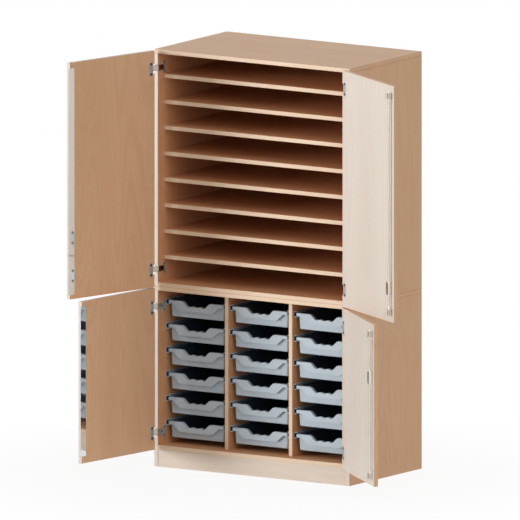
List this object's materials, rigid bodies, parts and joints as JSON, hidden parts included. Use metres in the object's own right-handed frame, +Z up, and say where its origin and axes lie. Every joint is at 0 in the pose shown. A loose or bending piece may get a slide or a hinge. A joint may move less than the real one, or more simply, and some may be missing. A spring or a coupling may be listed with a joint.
{
  "type": "classroom tray storage unit",
  "caption": "Tall beech-faced school cupboard with hinged doors above and below, full-width shelves in its upper part and columns of pull-out plastic trays on runners in its lower part.",
  "frame": {"origin": "middle of the plinth's underside, on the floor", "axes": "+Z up, -Y out of the front, +X to the right when facing the front"},
  "size_m": [1.6209, 1.1521, 1.9049],
  "materials": {
    "beech_board": "satin",
    "tray_plastic": "satin",
    "runner_plastic": "satin",
    "nickel_steel": "polished nickel",
    "polished_steel": "polished",
    "dark_steel": "satin"
  },
  "bodies": {
    "carcass": {"upper_left_side": "beech_board", "lower_left_side": "beech_board", "upper_right_side": "beech_board", "lower_right_side": "beech_board", "top_panel": "beech_board", "upper_bottom_panel": "beech_board", "upper_back": "beech_board", "lower_top_panel": "beech_board", "lower_bottom_panel": "beech_board", "lower_back": "beech_board", "plinth": "beech_board", "divider_1": "beech_board", "divider_2": "beech_board", "shelf_1": "beech_board", "shelf_2": "beech_board", "shelf_3": "beech_board", "shelf_4": "beech_board", "shelf_5": "beech_board", "shelf_6": "beech_board", "shelf_7": "beech_board", "shelf_8": "beech_board", "upper_left_hinge_top": "nickel_steel", "upper_left_hinge_bottom": "nickel_steel", "upper_right_hinge_top": "nickel_steel", "upper_right_hinge_bottom": "nickel_steel", "lower_left_hinge_top": "nickel_steel", "lower_left_hinge_bottom": "nickel_steel", "lower_right_hinge_top": "nickel_steel", "lower_right_hinge_bottom": "nickel_steel"},
    "tray_1_1": {"tray_1_1": "tray_plastic"},
    "tray_1_2": {"tray_1_2": "tray_plastic"},
    "tray_1_3": {"tray_1_3": "tray_plastic"},
    "tray_1_4": {"tray_1_4": "tray_plastic"},
    "tray_1_5": {"tray_1_5": "tray_plastic"},
    "tray_1_6": {"tray_1_6": "tray_plastic"},
    "tray_2_1": {"tray_2_1": "tray_plastic"},
    "tray_2_2": {"tray_2_2": "tray_plastic"},
    "tray_2_3": {"tray_2_3": "tray_plastic"},
    "tray_2_4": {"tray_2_4": "tray_plastic"},
    "tray_2_5": {"tray_2_5": "tray_plastic"},
    "tray_2_6": {"tray_2_6": "tray_plastic"},
    "tray_3_1": {"tray_3_1": "tray_plastic"},
    "tray_3_2": {"tray_3_2": "tray_plastic"},
    "tray_3_3": {"tray_3_3": "tray_plastic"},
    "tray_3_4": {"tray_3_4": "tray_plastic"},
    "tray_3_5": {"tray_3_5": "tray_plastic"},
    "tray_3_6": {"tray_3_6": "tray_plastic"},
    "upper_left_door": {"upper_left_door": "beech_board", "upper_strike_strip": "polished_steel"},
    "upper_right_door": {"upper_right_door": "beech_board", "upper_lock_case": "nickel_steel"},
    "upper_lock_plug": {"upper_lock_plug": "nickel_steel"},
    "upper_lock_rod": {"upper_lock_rod": "nickel_steel"},
    "lower_left_door": {"lower_left_door": "beech_board", "lower_strike_strip": "polished_steel"},
    "lower_right_door": {"lower_right_door": "beech_board", "lower_lock_case": "nickel_steel"},
    "lower_lock_plug": {"lower_lock_plug": "nickel_steel"},
    "lower_lock_rod": {"lower_lock_rod": "nickel_steel"}
  },
  "joints": [
    {"name": "tray_1_1_slide", "type": "slide", "parent": "carcass", "child": "tray_1_1", "axis": [0, -1, 0], "range_m": [0, 0.3]},
    {"name": "tray_1_2_slide", "type": "slide", "parent": "carcass", "child": "tray_1_2", "axis": [0, -1, 0], "range_m": [0, 0.3]},
    {"name": "tray_1_3_slide", "type": "slide", "parent": "carcass", "child": "tray_1_3", "axis": [0, -1, 0], "range_m": [0, 0.3]},
    {"name": "tray_1_4_slide", "type": "slide", "parent": "carcass", "child": "tray_1_4", "axis": [0, -1, 0], "range_m": [0, 0.3]},
    {"name": "tray_1_5_slide", "type": "slide", "parent": "carcass", "child": "tray_1_5", "axis": [0, -1, 0], "range_m": [0, 0.3]},
    {"name": "tray_1_6_slide", "type": "slide", "parent": "carcass", "child": "tray_1_6", "axis": [0, -1, 0], "range_m": [0, 0.3]},
    {"name": "tray_2_1_slide", "type": "slide", "parent": "carcass", "child": "tray_2_1", "axis": [0, -1, 0], "range_m": [0, 0.3]},
    {"name": "tray_2_2_slide", "type": "slide", "parent": "carcass", "child": "tray_2_2", "axis": [0, -1, 0], "range_m": [0, 0.3]},
    {"name": "tray_2_3_slide", "type": "slide", "parent": "carcass", "child": "tray_2_3", "axis": [0, -1, 0], "range_m": [0, 0.3]},
    {"name": "tray_2_4_slide", "type": "slide", "parent": "carcass", "child": "tray_2_4", "axis": [0, -1, 0], "range_m": [0, 0.3]},
    {"name": "tray_2_5_slide", "type": "slide", "parent": "carcass", "child": "tray_2_5", "axis": [0, -1, 0], "range_m": [0, 0.3]},
    {"name": "tray_2_6_slide", "type": "slide", "parent": "carcass", "child": "tray_2_6", "axis": [0, -1, 0], "range_m": [0, 0.3]},
    {"name": "tray_3_1_slide", "type": "slide", "parent": "carcass", "child": "tray_3_1", "axis": [0, -1, 0], "range_m": [0, 0.3]},
    {"name": "tray_3_2_slide", "type": "slide", "parent": "carcass", "child": "tray_3_2", "axis": [0, -1, 0], "range_m": [0, 0.3]},
    {"name": "tray_3_3_slide", "type": "slide", "parent": "carcass", "child": "tray_3_3", "axis": [0, -1, 0], "range_m": [0, 0.3]},
    {"name": "tray_3_4_slide", "type": "slide", "parent": "carcass", "child": "tray_3_4", "axis": [0, -1, 0], "range_m": [0, 0.3]},
    {"name": "tray_3_5_slide", "type": "slide", "parent": "carcass", "child": "tray_3_5", "axis": [0, -1, 0], "range_m": [0, 0.3]},
    {"name": "tray_3_6_slide", "type": "slide", "parent": "carcass", "child": "tray_3_6", "axis": [0, -1, 0], "range_m": [0, 0.3]},
    {"name": "upper_left_door_hinge", "type": "hinge", "parent": "carcass", "child": "upper_left_door", "pos_m": [-0.522, -0.0355, 1.36295], "axis": [0, 0, -1], "range_deg": [-104.4, 145.6]},
    {"name": "upper_right_door_hinge", "type": "hinge", "parent": "carcass", "child": "upper_right_door", "pos_m": [0.522, -0.0355, 1.36295], "axis": [0, 0, 1], "range_deg": [-149.4, 100.6]},
    {"name": "upper_lock_turn", "type": "hinge", "parent": "upper_right_door", "child": "upper_lock_plug", "pos_m": [0.93559, -0.28009, 0.978], "axis": [-0.509, -0.8607, 0], "range_deg": [0, 90]},
    {"name": "upper_rod_turn", "type": "hinge", "parent": "upper_right_door", "child": "upper_lock_rod", "pos_m": [0.93107, -0.31228, 1.36295], "axis": [0, 0, 1], "range_deg": [0, 90]},
    {"name": "lower_left_door_hinge", "type": "hinge", "parent": "carcass", "child": "lower_left_door", "pos_m": [-0.522, -0.0355, 0.4505], "axis": [0, 0, -1], "range_deg": [-96.5, 153.5]},
    {"name": "lower_right_door_hinge", "type": "hinge", "parent": "carcass", "child": "lower_right_door", "pos_m": [0.522, -0.0355, 0.4505], "axis": [0, 0, 1], "range_deg": [-138.9, 111.1]},
    {"name": "lower_lock_turn", "type": "hinge", "parent": "lower_right_door", "child": "lower_lock_plug", "pos_m": [0.88409, -0.35137, 0.574], "axis": [-0.6574, -0.7536, 0], "range_deg": [0, 90]},
    {"name": "lower_rod_turn", "type": "hinge", "parent": "lower_right_door", "child": "lower_lock_rod", "pos_m": [0.87379, -0.38219, 0.4505], "axis": [0, 0, 1], "range_deg": [0, 90]}
  ],
  "couplings": [
    {"joint": "upper_rod_turn", "follows": "upper_lock_turn", "ratio": 1},
    {"joint": "lower_rod_turn", "follows": "lower_lock_turn", "ratio": 1}
  ]
}
